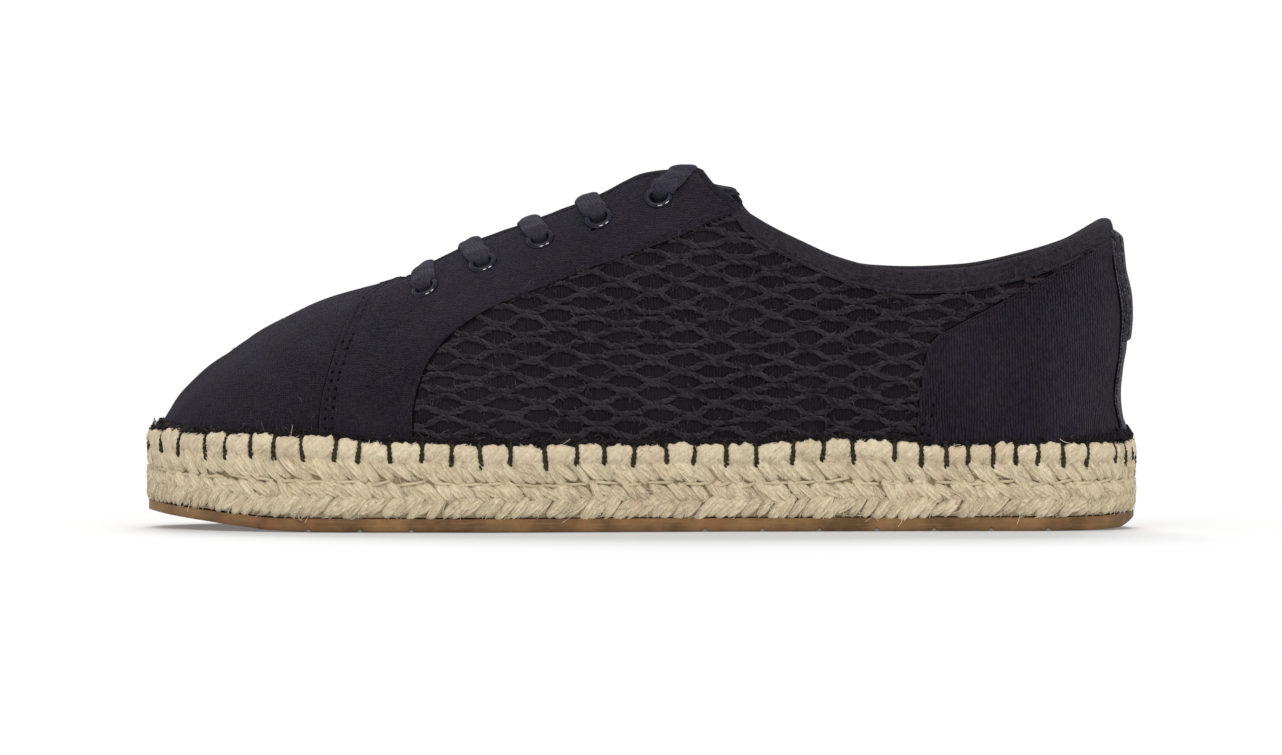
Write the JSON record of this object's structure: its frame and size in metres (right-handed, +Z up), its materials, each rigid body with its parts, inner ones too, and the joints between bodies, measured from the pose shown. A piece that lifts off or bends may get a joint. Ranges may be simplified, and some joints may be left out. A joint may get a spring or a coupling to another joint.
{
  "type": "sneaker",
  "caption": "Low lace-up canvas sneaker for the left foot, with open net quarters, bound collar, heel pull tab and a braided rope sole on thin rubber.",
  "frame": {"origin": "on the floor under the middle of the shoe's bounding box", "axes": "+X from toe to heel, +Y to the inner (medial) side, +Z up"},
  "size_m": [0.288, 0.1038, 0.1065],
  "materials": {
    "canvas": "matte plain-weave cotton canvas, navy black",
    "binding_tape": "matte folded canvas tape",
    "jute_rope": "braided natural jute",
    "gum_rubber": "translucent brown gum rubber",
    "insole_cloth": "natural cotton sock",
    "eyelet_metal": "glossy dark enamel",
    "lace_cotton": "matte flat woven lace"
  },
  "bodies": {
    "root": {"outsole": "gum_rubber", "rope_midsole": "jute_rope", "insole": "insole_cloth", "upper": "canvas", "tongue": "canvas", "eyestay_lateral": "canvas", "eyestay_medial": "canvas", "counter_lateral": "canvas", "counter_medial": "canvas", "collar_binding": "binding_tape", "heel_strip": "canvas", "pull_tab": "binding_tape", "eyelet_lateral_1": "eyelet_metal", "eyelet_lateral_2": "eyelet_metal", "eyelet_lateral_3": "eyelet_metal", "eyelet_lateral_4": "eyelet_metal", "eyelet_lateral_5": "eyelet_metal", "eyelet_medial_1": "eyelet_metal", "eyelet_medial_2": "eyelet_metal", "eyelet_medial_3": "eyelet_metal", "eyelet_medial_4": "eyelet_metal", "eyelet_medial_5": "eyelet_metal", "lace_bar_1": "lace_cotton", "lace_bar_2": "lace_cotton", "lace_bar_3": "lace_cotton", "lace_bar_4": "lace_cotton", "lace_bar_5": "lace_cotton"}
  },
  "joints": []
}
